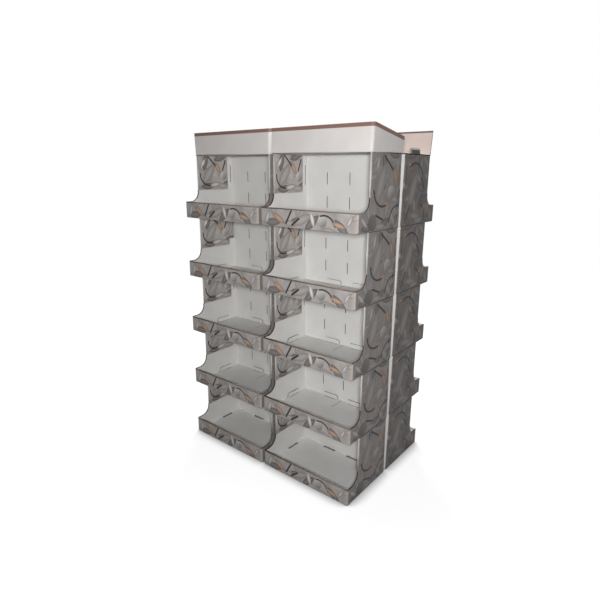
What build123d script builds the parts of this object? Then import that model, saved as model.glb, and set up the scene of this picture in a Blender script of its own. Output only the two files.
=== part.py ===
"""A free-standing corrugated-board display: four columns of stacked folded trays, each with a header.

The columns stand two wide and two deep, back to back. +Z is up, the front faces -Y, and the origin
is on the floor below the middle of the stand. All sizes are in millimetres.
"""

import os

from build123d import *

# Stand
rows = 5
side_gap = 22.0  # between the columns that stand side by side
back_gap = 25.0  # between the columns that stand back to back

# Board and its folds
board = 5.0
fold_gap = 1.0  # between two layers that are folded back on each other
crease_flat = 3.0  # flat that a right-angle crease leaves on the outside corner
hem_flat = 2.0  # the same where a layer is folded back on itself

# Tray
tray_width = 580.0
tray_depth = 380.0
tray_height = 350.0
lip_height = 92.0
lip_reach = 92.0  # how far the lip stands ahead of the side walls' front edges
mouth_radius = 55.0  # curve that joins the lip to a side wall's front edge
roll_clearance = 1.0  # round the lip's inner layer

# Flaps folded back inside the side walls
flap_setback = 55.0  # from the tray's back to a flap's free edge
flap_drop = 195.0
tongue_height = 105.0
tongue_drop = 50.0  # from the top of the flap
tongue_catch = 10.0  # how far a tongue reaches past its slit
lock_inset = 25.0  # from the tray's back to the slit that takes a tongue
slit_width = 4.0

# Stacking tabs and the floor slots that take them
tab_neck = 78.0  # length where a tab passes through its slot
tab_head = 102.0  # length above the slot: it is sprung through and locks the stack
tab_rise = 32.0
tab_corner = 12.0  # cut off its two free corners
tab_clearance = 1.0
slot_play = 4.0  # floor left open on the inner side of a tab
slot_web = 2.0  # floor left between a back slot and the back wall
side_tab_setback = 75.0  # from a flap's free edge to the middle of its tab
back_tab_spacing = 170.0

# Divider slits in the back wall
divider_pitch = 145.0
divider_columns = 3
divider_slit_height = 63.0
divider_slit_spacing = 126.0
divider_middle = 168.0  # height halfway between the two rows of slits

# Header
header_height = 125.0
header_rear_height = 80.0
header_flare = 6.0  # how far its upright panels lean out at the top
header_bend = 14.0  # outer radius of the soft bend between its front and side panels

# Worked-out places
half_width = tray_width / 2
lip_thickness = 2 * board + fold_gap
flap_hidden_face = half_width - board - fold_gap
flap_shown_face = flap_hidden_face - board
flap_bottom = tray_height - flap_drop
flap_back = tray_depth - flap_setback
flap_reach = flap_back - lip_reach
tongue_reach = flap_setback - lock_inset + tongue_catch
side_tab_middle = flap_back - side_tab_setback
back_lean = board + slot_web + tab_clearance
back_top = tray_depth - back_lean
slot_length = tab_neck + 2 * tab_clearance
side_slot_width = board + slot_play + fold_gap
back_slot_width = board + slot_play + tab_clearance
neck_rise = board + tab_clearance
head_rise = tab_rise - neck_rise


def back_face(height):
    """Where the back wall's outer face is at a height: it leans in, so its tabs miss the wall above."""
    return tray_depth - back_lean * height / tray_height


# Slots that take the stacking tabs of the tray below
with BuildPart() as floor_slots:
    with BuildSketch(Plane.XY):
        with Locations((flap_shown_face - slot_play, side_tab_middle)):
            Rectangle(side_slot_width, slot_length, align=(Align.MIN, Align.CENTER))
        mirror(about=Plane.YZ)
        with Locations((0, back_top + tab_clearance)):
            with GridLocations(back_tab_spacing, 0, 2, 1):
                Rectangle(slot_length, back_slot_width, align=(Align.CENTER, Align.MAX))
    extrude(amount=board)

# Tray: one blank, folded up
with BuildPart() as tray:
    # Outer form, as its side profile carried across the width
    with BuildSketch(Plane.YZ):
        with BuildLine():
            mouth = CenterArc((lip_reach - mouth_radius, lip_height + mouth_radius), mouth_radius, 270, 90)
            Polyline(
                mouth @ 1,
                (lip_reach, flap_bottom),
                (lip_reach + board, flap_bottom),
                (lip_reach + board, tray_height),
                (back_top, tray_height),
                (tray_depth, 0),
                (0, 0),
                (0, lip_height),
                mouth @ 0,
            )
        make_face()
    extrude(amount=half_width, both=True)
    chamfer(tray.edges().filter_by_position(Axis.Z, 0, 0), crease_flat)

    # Hollow between the walls
    with BuildSketch(Plane.YZ):
        with BuildLine():
            Polyline(
                (board, board),
                (back_face(board) - board, board),
                (back_top - board, tray_height),
                (0, tray_height),
                (0, lip_height - board),
                (board, lip_height - board),
                close=True,
            )
        make_face()
    extrude(amount=half_width - board, both=True, mode=Mode.SUBTRACT)

    # Lip rolled over and back down to the floor
    with BuildSketch(Plane.YZ) as lip_section:
        with BuildLine():
            Polyline(
                (0, lip_height),
                (lip_thickness, lip_height),
                (lip_thickness, board + roll_clearance),
                (board + fold_gap, board + roll_clearance),
                (board + fold_gap, lip_height - board),
                (0, lip_height - board),
                close=True,
            )
        make_face()
        chamfer(lip_section.vertices().group_by(Axis.Y)[-1], hem_flat)
    extrude(amount=half_width - board - roll_clearance, both=True)

    # Flaps folded back inside the side walls, each with its stacking tab
    with BuildSketch(Plane.XY.offset(flap_bottom)) as fold_section:
        with Locations((flap_shown_face, lip_reach)):
            Rectangle(lip_thickness, board, align=(Align.MIN, Align.MIN))
        chamfer(fold_section.vertices().group_by(Axis.Y)[0], hem_flat)
    fold = extrude(amount=flap_drop)
    with BuildSketch(Plane.YZ.offset(flap_shown_face)) as flap_outline:
        with Locations((lip_reach + board, flap_bottom)):
            Rectangle(flap_reach - board, flap_drop, align=(Align.MIN, Align.MIN))
        with Locations((side_tab_middle, tray_height)):
            Rectangle(tab_neck, tab_rise, align=(Align.CENTER, Align.MIN))
        with Locations((side_tab_middle, tray_height + neck_rise)):
            Rectangle(tab_head, head_rise, align=(Align.CENTER, Align.MIN))
        chamfer(flap_outline.vertices().group_by(Axis.Y)[-1], tab_corner)
    flap = extrude(amount=board)
    mirror([fold, flap], about=Plane.YZ)

    # Stacking tabs on the back wall
    with BuildSketch(Plane.XZ.offset(board - back_top)) as back_tabs:
        with Locations((0, tray_height)):
            with GridLocations(back_tab_spacing, 0, 2, 1):
                Rectangle(tab_neck, tab_rise, align=(Align.CENTER, Align.MIN))
        with Locations((0, tray_height + neck_rise)):
            with GridLocations(back_tab_spacing, 0, 2, 1):
                Rectangle(tab_head, head_rise, align=(Align.CENTER, Align.MIN))
        chamfer(back_tabs.vertices().group_by(Axis.Y)[-1], tab_corner)
    extrude(amount=-board)

    add(floor_slots.part, mode=Mode.SUBTRACT)

    # Slits in the back wall for dividers
    with BuildSketch(Plane.XZ.offset(-tray_depth)):
        with Locations((0, divider_middle)):
            with GridLocations(divider_pitch, divider_slit_spacing, divider_columns, 2):
                Rectangle(slit_width, divider_slit_height)
    extrude(amount=back_lean + 2 * board, mode=Mode.SUBTRACT)

    # Slits in the side walls for the flaps' tongues
    with BuildSketch(Plane.YZ.offset(half_width - board)):
        with Locations((tray_depth - lock_inset, tray_height - tongue_drop)):
            Rectangle(slit_width, tongue_height, align=(Align.CENTER, Align.MAX))
    lock_slit = extrude(amount=board, mode=Mode.SUBTRACT)
    mirror(lock_slit, about=Plane.YZ, mode=Mode.SUBTRACT)

# The one tray whose left flap has its tongue hanging out of the slit, flat on the wall
with BuildPart() as loose_tray:
    add(tray.part)
    with BuildSketch(Plane.YZ.offset(-flap_hidden_face)):
        with Locations((flap_back, tray_height - tongue_drop)):
            Rectangle(tongue_reach, tongue_height, align=(Align.MIN, Align.MAX))
    extrude(amount=board)

# Header: floor panel, front panel and one side panel, folded from one blank
with BuildPart() as header:
    with BuildSketch(Plane.XY):
        with Locations((0, lip_reach)):
            Rectangle(tray_width, tray_depth - lip_reach, align=(Align.CENTER, Align.MIN))
    extrude(amount=board)
    with BuildSketch(Plane.XZ.offset(-lip_reach)):
        with BuildLine():
            Polyline(
                (-half_width, 0),
                (half_width, 0),
                (half_width + header_flare, header_height),
                (-half_width - header_flare, header_height),
                close=True,
            )
        make_face()
    extrude(amount=-board)
    with BuildSketch(Plane.XZ.offset(-lip_reach)):
        with BuildLine():
            Polyline(
                (half_width - board, 0),
                (half_width, 0),
                (half_width + header_flare, header_height),
                (half_width + header_flare - board, header_height),
                close=True,
            )
        make_face()
    extrude(amount=lip_reach - tray_depth)
    for front_face, radius in ((lip_reach, header_bend), (lip_reach + board, header_bend - board)):
        uprights = header.edges().filter_by_position(Axis.Y, front_face, front_face)
        fillet(uprights.sort_by(Axis.X)[-1], radius)
    with BuildSketch(Plane.YZ.offset(half_width - board)):
        with BuildLine():
            Polyline(
                (lip_reach + board, header_height),
                (tray_depth, header_rear_height),
                (tray_depth, header_height),
                close=True,
            )
        make_face()
    extrude(amount=board + header_flare, mode=Mode.SUBTRACT)
    creases = header.edges().filter_by_position(Axis.Z, 0, 0)
    chamfer([creases.sort_by(Axis.Y)[0], creases.sort_by(Axis.X)[-1]], crease_flat)
    add(floor_slots.part, mode=Mode.SUBTRACT)


def place(shape, side, level, rear):
    """Returns a copy of a tray or header in its column: side is -1 for left and 1 for right."""
    across = side * (tray_width + side_gap) / 2
    forward = -tray_depth - back_gap / 2
    if rear:
        return shape.moved(Location((across, -forward, level * tray_height), (0, 0, 180)))
    return shape.moved(Location((across, forward, level * tray_height)))


loose_place = ("front", "left", 4)

os.makedirs("parts", exist_ok=True)
for row_name in ("front", "rear"):
    for side_name, side_sign in (("left", -1), ("right", 1)):
        for number in range(1, rows + 1):
            is_loose = (row_name, side_name, number) == loose_place
            source = loose_tray.part if is_loose else tray.part
            piece = place(source, side_sign, number - 1, row_name == "rear")
            piece.label = f"{row_name}_{side_name}_tray_{number}"
            export_step(piece, f"parts/{piece.label}.step")
        top = place(header.part, side_sign, rows, row_name == "rear")
        top.label = f"{row_name}_{side_name}_header"
        export_step(top, f"parts/{top.label}.step")
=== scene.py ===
"""Dresses the cardboard display stand: its folded trays and headers, their board and print, and the studio.

Sizes are in millimetres in the classes below and become metres where meshes are made. A tray's own frame has
X across it, Y from the face of its lip to its back and Z up from its floor.
"""

import logging
import math
from collections.abc import Callable, Sequence
from dataclasses import dataclass
from enum import Enum

import bmesh
import bpy
from mathutils import Matrix, Vector
from mathutils.geometry import tessellate_polygon


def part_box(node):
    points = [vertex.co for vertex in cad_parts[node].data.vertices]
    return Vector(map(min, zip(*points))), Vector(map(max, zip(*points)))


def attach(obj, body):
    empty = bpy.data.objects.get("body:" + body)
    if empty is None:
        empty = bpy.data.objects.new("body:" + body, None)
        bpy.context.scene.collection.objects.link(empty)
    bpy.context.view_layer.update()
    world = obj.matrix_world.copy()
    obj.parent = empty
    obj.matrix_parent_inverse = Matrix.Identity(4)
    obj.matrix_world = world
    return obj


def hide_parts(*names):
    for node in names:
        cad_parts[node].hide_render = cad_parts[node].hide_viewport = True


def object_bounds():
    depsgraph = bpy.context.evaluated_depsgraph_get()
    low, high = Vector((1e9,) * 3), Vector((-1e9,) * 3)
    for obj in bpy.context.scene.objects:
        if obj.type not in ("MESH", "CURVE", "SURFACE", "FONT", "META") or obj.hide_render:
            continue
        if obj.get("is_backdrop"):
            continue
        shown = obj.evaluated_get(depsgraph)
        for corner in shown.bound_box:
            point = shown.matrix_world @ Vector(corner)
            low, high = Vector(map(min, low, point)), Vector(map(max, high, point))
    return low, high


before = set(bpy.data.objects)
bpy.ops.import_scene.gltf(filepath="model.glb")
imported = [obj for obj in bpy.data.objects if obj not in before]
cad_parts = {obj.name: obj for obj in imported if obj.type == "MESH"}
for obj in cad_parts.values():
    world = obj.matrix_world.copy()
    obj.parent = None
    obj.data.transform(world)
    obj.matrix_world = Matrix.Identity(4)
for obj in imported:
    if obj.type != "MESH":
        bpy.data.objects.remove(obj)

LOG = logging.getLogger("display_stand")

# A millimetre, and how near two corners are that become one, in metres
MM = 0.001
WELD = 1e-5

# Short names for types that come up often
Point = tuple[float, float]
Tree = bpy.types.NodeTree
Socket = bpy.types.NodeSocket
Inputs = dict[str | int, Socket | str | float | Sequence[float]]

# The colour sockets of a Mix node
MIX_A, MIX_B, MIX_RESULT = 6, 7, 2

# Millimetres over which the edge of a printed form fades, and that of a border, patch or band
INK_FADE = 1.2
LINE_FADE = 1.0

# Share of a form's width at which its heart's colour is reached
HEART_DEPTH = 0.4
# Share of its radius below which an arc isn't drawn
ARC_FOOT = 0.6
# How far strewn forms stray from an even grid, from 0 to 1
STRAY = 0.6

# How many sides a rounded right angle has, and the angles of its points
ROUND_STEPS = 6
QUARTER_TURN = [math.pi / 2 * i / ROUND_STEPS for i in range(ROUND_STEPS + 1)]

# The axes of a tray's own frame
ACROSS, BACK, UP = Vector((1, 0, 0)), Vector((0, 1, 0)), Vector((0, 0, 1))


def linear(hex_colour: str) -> tuple[float, float, float, float]:
    """Turns an sRGB colour into the linear one that shaders take, by the curve of that standard.

    Args:
        hex_colour: The colour as "#rrggbb".

    Returns:
        Red, green, blue and an alpha of 1.
    """
    shares = [int(hex_colour[i:i + 2], 16) / 255 for i in (1, 3, 5)]
    red, green, blue = (s / 12.92 if s <= 0.04045 else ((s + 0.055) / 1.055) ** 2.4 for s in shares)
    return red, green, blue, 1.0


def add_node(tree: Tree, kind: str, inputs: Inputs | None = None, **settings: str) -> bpy.types.NodeOutputs:
    """Adds a node with its settings and links.

    Args:
        tree: The node tree it goes into.
        kind: Blender's name of the node's type, after the ShaderNode that they all begin with.
        inputs: What goes into its sockets, by name or number: a socket is linked, a hex colour is made
            linear, and any other value is set as it is.
        **settings: The node's own properties.

    Returns:
        The new node's output sockets.
    """
    node = tree.nodes.new(f"ShaderNode{kind}")
    for name, value in settings.items():
        setattr(node, name, value)
    for key, value in (inputs or {}).items():
        if isinstance(value, Socket):
            tree.links.new(value, node.inputs[key])
        else:
            node.inputs[key].default_value = linear(value) if isinstance(value, str) else value
    return node.outputs


class Face(Enum):
    """What a face of the board is; the value is its place among a mesh's materials."""

    LINER = 0
    LIP = 1
    RIGHT_WALL = 2
    LEFT_WALL = 3
    FLAP = 4
    TAB = 5
    HEADER = 6
    HEADER_INSIDE = 7
    CUT = 8
    WHITE_CUT = 9
    SLOT = 10
    WALL_INSIDE = 11
    FLOOR = 12
    LOWEST_FLOOR = 13


class Ink(Enum):
    """An ink of the print or painted shade on the board: the colour at a form's edge and at its heart."""

    BLACK = ("#1d1b1c", "#353233")
    SHADE = ("#565251", "#716d6b")
    MIST = ("#77736f", "#95918e")
    GREY = ("#6a6664", "#b0aca9")
    PALE = ("#7d7977", "#c4c1be")
    TAN = ("#776252", "#a48c7a")
    # Painted shade of a groove in the floor
    CREASE = ("#b4b3b0", "#8e8c89")
    # Painted shade round the floor's slots, darkest towards the slot
    RIM = ("#5a5653", "#2b2724")


class Shape(Enum):
    """The outline of a form in the print."""

    BAR = "bar"
    LEAF = "leaf"
    DISC = "disc"
    ARC = "arc"

    def depth(self, tree: Tree, own: Socket, size: float, width: float) -> Socket:
        """Works out how far inside the form a point is.

        Args:
            tree: The material's node tree.
            own: The point's place from the form's middle, in millimetres along its own axes.
            size: A long form's half length, or a round form's radius.
            width: How wide the form or its line is.

        Returns:
            The depth in millimetres, below zero outside.
        """
        half = width / 2
        rim = size if self is Shape.DISC else half
        place = own
        if self is Shape.BAR:
            # A bar's ends are half rounds, whose middles lie this far in towards its own
            ends = (half - size, 0, 0)
            place = add_node(tree, "VectorMath", {0: place}, operation="ABSOLUTE")[0]
            place = add_node(tree, "VectorMath", {0: place, 1: ends}, operation="ADD")[0]
            place = add_node(tree, "VectorMath", {0: place}, operation="MAXIMUM")[0]
        if self is Shape.LEAF:
            # Each side of a leaf is an arc whose middle lies this far beyond the leaf's axis
            beyond = (size * size - half * half) / width
            place = add_node(tree, "VectorMath", {0: place}, operation="ABSOLUTE")[0]
            place = add_node(tree, "VectorMath", {0: place, 1: (0, beyond, 0)}, operation="ADD")[0]
            rim = half + beyond
        reach = add_node(tree, "VectorMath", {0: place}, operation="LENGTH")["Value"]
        if self is Shape.ARC:
            off = add_node(tree, "Math", {0: reach, 1: size}, operation="SUBTRACT")[0]
            reach = add_node(tree, "Math", {0: off}, operation="ABSOLUTE")[0]
        depth = add_node(tree, "Math", {0: rim, 1: reach}, operation="SUBTRACT")[0]
        if self is Shape.ARC:
            up = add_node(tree, "SeparateXYZ", {0: own})["Y"]
            over = add_node(tree, "Math", {0: up, 1: ARC_FOOT * size}, operation="SUBTRACT")[0]
            depth = add_node(tree, "Math", {0: depth, 1: over}, operation="MINIMUM")[0]
        return depth

    def stamp(self, tree: Tree, own: Socket, size: float, width: float, ink: Ink, below: Socket) -> Socket:
        """Prints the form over what is there.

        The ink turns from its edge's colour to its heart's colour across a disc, and from the edge inwards in
        the other forms.

        Args:
            tree: The material's node tree.
            own: The point's place from the form's middle, in millimetres along its own axes.
            size: A long form's half length, or a round form's radius.
            width: How wide the form or its line is.
            ink: Its colours.
            below: The colour that is there already.

        Returns:
            The colour with the form on it.
        """
        depth = self.depth(tree, own, size, width)
        if self is Shape.DISC:
            along = add_node(tree, "SeparateXYZ", {0: own})["Y"]
            shine = add_node(tree, "MapRange", {"Value": along, "From Min": -size, "From Max": size})[0]
        else:
            shine = add_node(tree, "MapRange", {"Value": depth, "From Max": HEART_DEPTH * width})[0]
        edge, heart = ink.value
        colour = add_node(tree, "Mix", {0: shine, MIX_A: edge, MIX_B: heart}, data_type="RGBA")[MIX_RESULT]
        inside = add_node(tree, "MapRange", {"Value": depth, "From Max": INK_FADE})[0]
        return add_node(tree, "Mix", {0: inside, MIX_A: below, MIX_B: colour}, data_type="RGBA")[MIX_RESULT]


@dataclass(frozen=True)
class Motif:
    """One form of the print, placed one by one, in millimetres on its panel.

    Attributes:
        shape: Its outline.
        ink: Its colours.
        x: Its middle along the panel.
        y: Its middle up the panel.
        size: A long form's half length, or a round form's radius.
        width: How wide it or its line is.
        turn: How far it is turned, in degrees.
    """

    shape: Shape
    ink: Ink
    x: float
    y: float
    size: float
    width: float = 0.0
    turn: float = 0.0

    def paint(self, tree: Tree, plane: Socket, below: Socket) -> Socket:
        """Prints the form over what is below it.

        Args:
            tree: The material's node tree.
            plane: The point's place on the panel in millimetres.
            below: The colour that is there already.

        Returns:
            The colour with the form on it.
        """
        own = add_node(tree, "Mapping", {
            "Vector": plane,
            "Location": (self.x, self.y, 0),
            "Rotation": (0, 0, math.radians(self.turn)),
        }, vector_type="TEXTURE")[0]
        return self.shape.stamp(tree, own, self.size, self.width, self.ink, below)


@dataclass(frozen=True)
class Scatter:
    """A form strewn over a panel: one to a cell, each turned its own way and cut off at the cell's edge.

    Attributes:
        shape: Its outline.
        ink: Its colours.
        pitch: How far apart the forms are.
        size: Its half length.
        width: How wide it is.
        start: Where the scatter begins, so that two of them differ.
    """

    shape: Shape
    ink: Ink
    pitch: float
    size: float
    width: float
    start: float

    def paint(self, tree: Tree, plane: Socket, below: Socket) -> Socket:
        """Prints the forms over what is below them.

        Args:
            tree: The material's node tree.
            plane: The point's place on the panel in millimetres.
            below: The colour that is there already.

        Returns:
            The colour with the forms on it.
        """
        shift = (self.start, self.start, 0)
        moved = add_node(tree, "VectorMath", {0: plane, 1: shift}, operation="ADD")[0]
        cell = add_node(tree, "TexVoronoi", {
            "Vector": moved, "Scale": 1 / self.pitch, "Randomness": STRAY,
        }, voronoi_dimensions="2D")
        own = add_node(tree, "VectorMath", {0: moved, 1: cell["Position"]}, operation="SUBTRACT")[0]
        chance = add_node(tree, "SeparateColor", {0: cell["Color"]})[0]
        angle = add_node(tree, "Math", {0: chance, 1: math.tau}, operation="MULTIPLY")[0]
        turned = add_node(tree, "VectorRotate", {"Vector": own, "Angle": angle}, rotation_type="Z_AXIS")[0]
        return self.shape.stamp(tree, turned, self.size, self.width, self.ink, below)


GROUND_PRINT = (
    Scatter(Shape.LEAF, Ink.SHADE, 150, 58, 40, 310),
    Scatter(Shape.LEAF, Ink.MIST, 120, 50, 34, 770),
)
LIP_PRINT = (
    Motif(Shape.LEAF, Ink.GREY, 46, 46, 42, 27, 70),
    Motif(Shape.LEAF, Ink.MIST, 266, 44, 70, 46, 24),
    Motif(Shape.LEAF, Ink.TAN, 118, 44, 46, 30, -32),
    Motif(Shape.BAR, Ink.BLACK, 184, 54, 42, 11, 62),
    Motif(Shape.BAR, Ink.BLACK, 226, 32, 32, 12, 38),
    Motif(Shape.LEAF, Ink.PALE, 328, 50, 42, 25, 106),
    Motif(Shape.DISC, Ink.GREY, 386, 44, 27, turn=30),
    Motif(Shape.ARC, Ink.BLACK, 398, 12, 60, 9, -28),
    Motif(Shape.LEAF, Ink.TAN, 478, 32, 42, 25, -14),
    Motif(Shape.LEAF, Ink.GREY, 536, 52, 34, 20, 62),
)
RIGHT_WALL_PRINT = (
    Motif(Shape.LEAF, Ink.MIST, 184, 214, 104, 78, 68),
    Motif(Shape.DISC, Ink.SHADE, 122, 42, 38, turn=-40),
    Motif(Shape.LEAF, Ink.GREY, 152, 302, 46, 30, 74),
    Motif(Shape.LEAF, Ink.TAN, 318, 252, 50, 36, 108),
    Motif(Shape.LEAF, Ink.TAN, 232, 122, 40, 28, 20),
    Motif(Shape.DISC, Ink.GREY, 284, 172, 33, turn=35),
    Motif(Shape.LEAF, Ink.MIST, 296, 60, 62, 46, 128),
    Motif(Shape.LEAF, Ink.GREY, 48, 48, 44, 32, 140),
    Motif(Shape.BAR, Ink.BLACK, 252, 306, 54, 12, -36),
    Motif(Shape.ARC, Ink.BLACK, 206, 196, 84, 11, 148),
    Motif(Shape.ARC, Ink.BLACK, 352, 34, 76, 10, 40),
    Motif(Shape.BAR, Ink.BLACK, 182, 62, 40, 11, -20),
)
LEFT_WALL_PRINT = (
    Motif(Shape.LEAF, Ink.MIST, 272, 176, 110, 70, 112),
    Motif(Shape.LEAF, Ink.MIST, 192, 300, 48, 34, 100),
    Motif(Shape.DISC, Ink.SHADE, 150, 108, 52, turn=120),
    Motif(Shape.LEAF, Ink.TAN, 132, 84, 48, 34, 150),
    Motif(Shape.LEAF, Ink.MIST, 48, 44, 42, 32, 70),
    Motif(Shape.LEAF, Ink.TAN, 318, 300, 40, 28, 34),
    Motif(Shape.LEAF, Ink.MIST, 236, 46, 60, 40, 8),
    Motif(Shape.ARC, Ink.BLACK, 258, 214, 96, 12, 14),
    Motif(Shape.BAR, Ink.BLACK, 164, 212, 40, 13, 52),
    Motif(Shape.BAR, Ink.BLACK, 316, 70, 44, 11, 118),
    Motif(Shape.ARC, Ink.BLACK, 190, 40, 64, 10, 62),
)
FLAP_PRINT = (
    Motif(Shape.LEAF, Ink.MIST, 84, 92, 80, 58, 52),
    Motif(Shape.LEAF, Ink.PALE, 44, 154, 34, 20, 58),
    Motif(Shape.LEAF, Ink.TAN, 156, 130, 44, 30, 128),
    Motif(Shape.DISC, Ink.GREY, 200, 80, 25, turn=50),
    Motif(Shape.LEAF, Ink.GREY, 132, 30, 50, 32, 8),
    Motif(Shape.BAR, Ink.BLACK, 112, 166, 42, 10, -42),
    Motif(Shape.BAR, Ink.BLACK, 208, 144, 36, 10, 68),
    Motif(Shape.ARC, Ink.BLACK, 86, 92, 66, 9, 138),
)


@dataclass(frozen=True)
class Crease:
    """A band along a fold where the print is paler: partly worn print and partly a painted highlight where
    the fold catches the light.

    Attributes:
        at: Its middle along the panel.
        half_width: Half the width of the fold itself.
        fade: How far the paleness fades out beside it.
        strength: How much of the print gives way to the pale colour on the fold.
    """

    at: float
    half_width: float
    fade: float
    strength: float


@dataclass(frozen=True)
class BoardFinish:
    """What every face of the corrugated board shares.

    Attributes:
        name: The material's name.
        roughness: How dull the surface is.
        sheen: How strongly it reflects, from 0 to 1; paper's open fibres keep it low.
        ior: Its index of refraction, as paper has it.
        layer: The mesh's layer of places on the face.
        flute_pitch: Distance between two flutes under the liner.
        flute_relief: How deep the liner sinks between flutes.
    """

    name: str
    roughness: float = 0.62
    sheen: float = 0.2
    ior: float = 1.5
    layer: str = "sheet"
    flute_pitch: float = 7.5
    flute_relief: float = 0.05

    def colour(self, tree: Tree, plane: Socket) -> Socket:
        """Lays out the face's colours; each finish has its own."""
        raise NotImplementedError

    def flutes(self, tree: Tree, plane: Socket) -> Socket:
        """Draws the wave of the flutes along the panel.

        Args:
            tree: The material's node tree.
            plane: The point's place on the panel in millimetres.

        Returns:
            The wave, from -1 to 1.
        """
        along = add_node(tree, "SeparateXYZ", {0: plane})["X"]
        turn = add_node(tree, "Math", {0: along, 1: math.tau / self.flute_pitch}, operation="MULTIPLY")[0]
        return add_node(tree, "Math", {0: turn}, operation="SINE")[0]

    def material(self) -> bpy.types.Material:
        """Makes the finish's material, with the faint washboard that flutes press into a liner.

        Returns:
            The material.
        """
        made = bpy.data.materials.new(self.name)
        made.use_nodes = True
        tree = made.node_tree
        shader = tree.nodes["Principled BSDF"]
        place = add_node(tree, "UVMap", uv_map=self.layer)[0]
        plane = add_node(tree, "VectorMath", {0: place, "Scale": 1 / MM}, operation="SCALE")[0]
        tree.links.new(self.colour(tree, plane), shader.inputs["Base Color"])
        depth = self.flute_relief * MM
        height = add_node(tree, "Math", {0: self.flutes(tree, plane), 1: depth}, operation="MULTIPLY")[0]
        # The height is in metres already, so the bump takes it as it is
        bump = add_node(tree, "Bump", {"Height": height, "Distance": 1.0})[0]
        tree.links.new(bump, shader.inputs["Normal"])
        shader.inputs["Roughness"].default_value = self.roughness
        shader.inputs["IOR"].default_value = self.ior
        shader.inputs["Specular IOR Level"].default_value = self.sheen
        return made


@dataclass(frozen=True)
class WhiteLiner(BoardFinish):
    """Clay-coated white-top liner: an even chalky white with a faint cloudiness and no clear reflection.

    Attributes:
        white: The colour of most of it.
        cloud: The colour of its clouds.
        cloud_size: How large the clouds are.
        cloud_octaves: How much finer detail they have.
        fibre_size: How large the specks of fibre are, drawn far coarser than real ones so that they show.
        fibre_octaves: How much finer detail they have.
        cloud_range: The strengths of cloud and speck together where the white ends and the cloud is full.
    """

    white: str = "#dadad8"
    cloud: str = "#d2d0cd"
    cloud_size: float = 130.0
    cloud_octaves: float = 2.0
    fibre_size: float = 2.5
    fibre_octaves: float = 3.0
    cloud_range: Point = (0.12, 0.4)

    def colour(self, tree: Tree, plane: Socket) -> Socket:
        """Mixes two whites by slow clouds and fine fibres.

        Args:
            tree: The material's node tree.
            plane: The point's place on the panel in millimetres.

        Returns:
            The colour socket.
        """
        kinds = ((self.cloud_size, self.cloud_octaves), (self.fibre_size, self.fibre_octaves))
        clouds, fibres = (
            add_node(tree, "TexNoise", {"Vector": plane, "Scale": 1 / size, "Detail": octaves})[0]
            for size, octaves in kinds
        )
        both = add_node(tree, "Math", {0: clouds, 1: fibres}, operation="MULTIPLY")[0]
        low, high = self.cloud_range
        share = add_node(tree, "MapRange", {"Value": both, "From Min": low, "From Max": high})[0]
        mix = {0: share, MIX_A: self.white, MIX_B: self.cloud}
        return add_node(tree, "Mix", mix, data_type="RGBA")[MIX_RESULT]


@dataclass(frozen=True)
class BorderedLiner(WhiteLiner):
    """The header's white liner with a printed brown border along its top edge.

    Attributes:
        border: The border's colour.
        border_width: How wide the border is.
    """

    roughness: float = 0.6
    white: str = "#dcd9d7"
    cloud: str = "#d5cfcb"
    border: str = "#876a61"
    border_width: float = 17.0

    def colour(self, tree: Tree, plane: Socket) -> Socket:
        """Prints the border over the white; a place's second number is its distance below the top edge.

        Args:
            tree: The material's node tree.
            plane: The point's place on the panel in millimetres.

        Returns:
            The colour socket.
        """
        below = add_node(tree, "SeparateXYZ", {0: plane})["Y"]
        share = add_node(tree, "MapRange", {
            "Value": below, "From Min": self.border_width, "From Max": self.border_width + LINE_FADE,
        })[0]
        mix = {0: share, MIX_A: self.border, MIX_B: super().colour(tree, plane)}
        return add_node(tree, "Mix", mix, data_type="RGBA")[MIX_RESULT]


@dataclass(frozen=True)
class MouthBandLiner(WhiteLiner):
    """The inside of a side wall: white liner with a brown band along the mouth that the die cut.

    Attributes:
        mouth: The middle of the mouth's curve.
        mouth_radius: The curve's radius.
        mouth_band: The band's colour.
        mouth_band_width: How wide it is.
    """

    mouth: Point = (0.0, 0.0)
    mouth_radius: float = 0.0
    mouth_band: str = "#6e5048"
    mouth_band_width: float = 3.0

    def colour(self, tree: Tree, plane: Socket) -> Socket:
        """Browns the white beside the mouth, which runs level, then round its curve, then straight up.

        Args:
            tree: The material's node tree.
            plane: The point's place on the panel in millimetres.

        Returns:
            The colour socket.
        """
        off = add_node(tree, "VectorMath", {0: plane, 1: (*self.mouth, 0)}, operation="SUBTRACT")[0]
        down = add_node(tree, "VectorMath", {0: off, 1: (1, -1, 0)}, operation="MULTIPLY")[0]
        past = add_node(tree, "VectorMath", {0: down}, operation="MAXIMUM")[0]
        reach = add_node(tree, "VectorMath", {0: past}, operation="LENGTH")["Value"]
        edge = self.mouth_radius + self.mouth_band_width
        share = add_node(tree, "MapRange", {
            "Value": reach, "From Min": edge, "From Max": edge + LINE_FADE,
        })[0]
        mix = {0: share, MIX_A: self.mouth_band, MIX_B: super().colour(tree, plane)}
        return add_node(tree, "Mix", mix, data_type="RGBA")[MIX_RESULT]


@dataclass(frozen=True)
class MarkedLiner(WhiteLiner):
    """A tray's floor: white liner with painted shade round its slots and, on a tray that stands on another,
    painted shade of a groove.

    Attributes:
        marks: The marks.
    """

    marks: tuple[Motif, ...] = ()

    def colour(self, tree: Tree, plane: Socket) -> Socket:
        """Draws the marks over the white.

        Args:
            tree: The material's node tree.
            plane: The point's place on the panel in millimetres.

        Returns:
            The colour socket.
        """
        colour = super().colour(tree, plane)
        for mark in self.marks:
            colour = mark.paint(tree, plane, colour)
        return colour


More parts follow.
